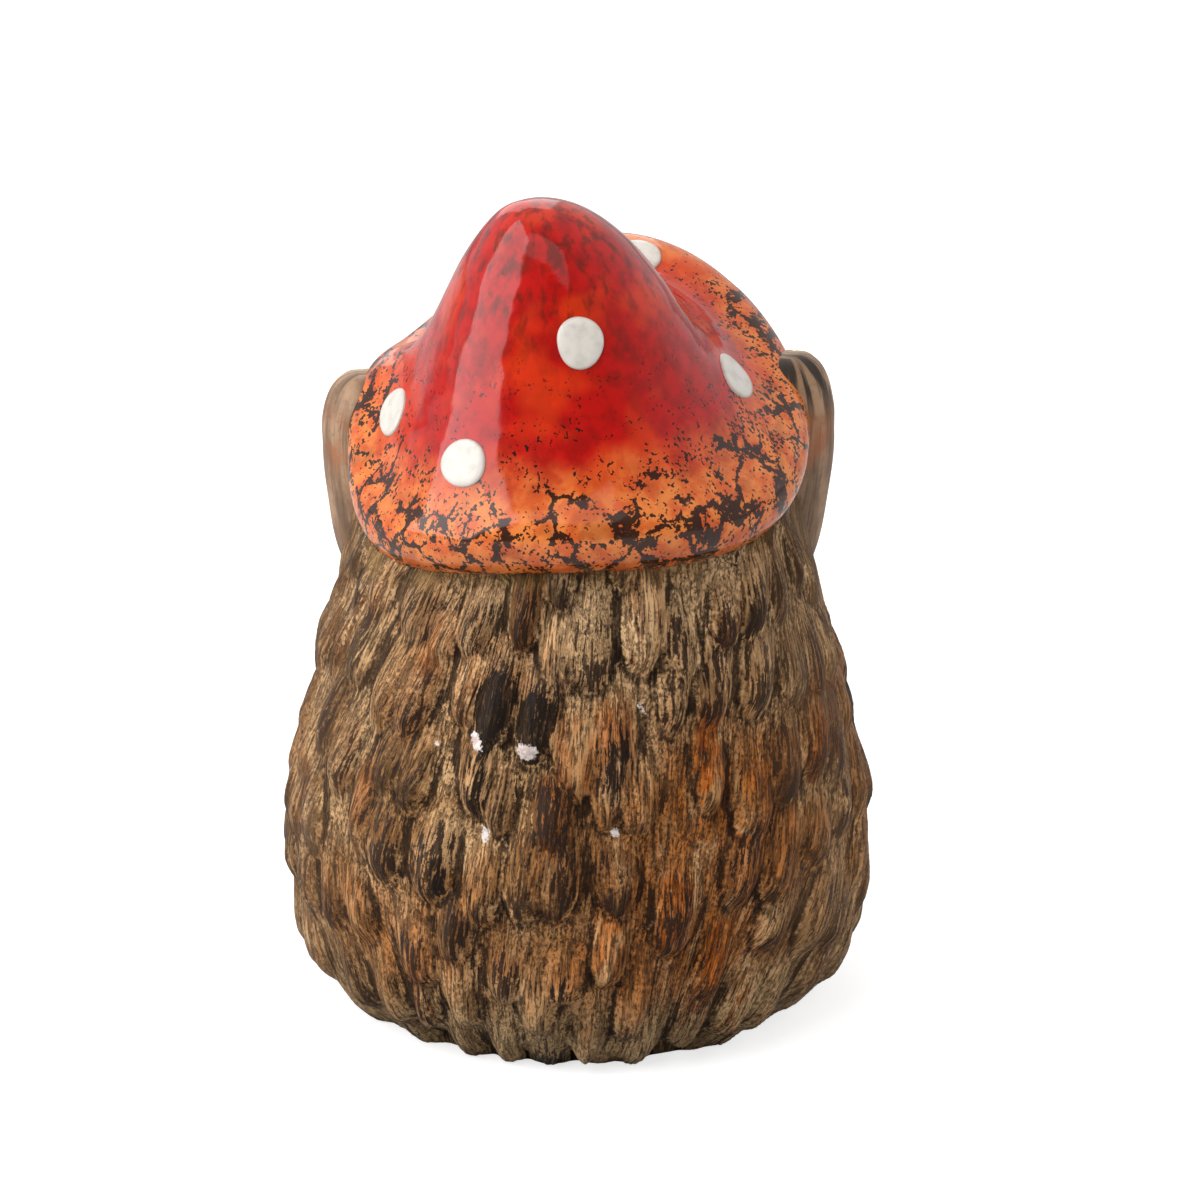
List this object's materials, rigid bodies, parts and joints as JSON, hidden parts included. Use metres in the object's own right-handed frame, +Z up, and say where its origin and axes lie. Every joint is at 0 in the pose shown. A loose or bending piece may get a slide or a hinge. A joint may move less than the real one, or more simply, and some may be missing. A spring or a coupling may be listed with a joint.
{
  "type": "hedgehog figurine",
  "caption": "Upright glazed earthenware hedgehog ornament with a tufted, combed coat, both paws raised to hold a tilted red toadstool cap with white spots on its head.",
  "frame": {"origin": "on the ground, under the middle of the figurine's bounding box", "axes": "+Z up, -Y the way the face looks, +X the hedgehog's own left"},
  "size_m": [0.1194, 0.1321, 0.1705],
  "materials": {
    "coat_wash": "brown underglaze washed into combed clay, satin",
    "arm_wash": "grey-brown underglaze with dark brush strokes, satin",
    "face_slip": "pale cream slip, satin",
    "black_glaze": "black gloss glaze",
    "red_glaze": "red glaze breaking to orange at the brim, high gloss",
    "white_enamel": "white enamel, soft gloss"
  },
  "bodies": {
    "root": {"body_shell": "coat_wash", "left_arm": "arm_wash", "right_arm": "arm_wash", "left_foot": "face_slip", "right_foot": "face_slip", "left_ear": "face_slip", "right_ear": "face_slip", "muzzle": "face_slip", "nose": "black_glaze", "left_eye": "black_glaze", "right_eye": "black_glaze", "mushroom_cap": "red_glaze", "cap_spot_1": "white_enamel", "cap_spot_2": "white_enamel", "cap_spot_3": "white_enamel", "cap_spot_4": "white_enamel", "cap_spot_5": "white_enamel", "cap_spot_6": "white_enamel", "cap_spot_7": "white_enamel", "cap_spot_8": "white_enamel"}
  },
  "joints": []
}
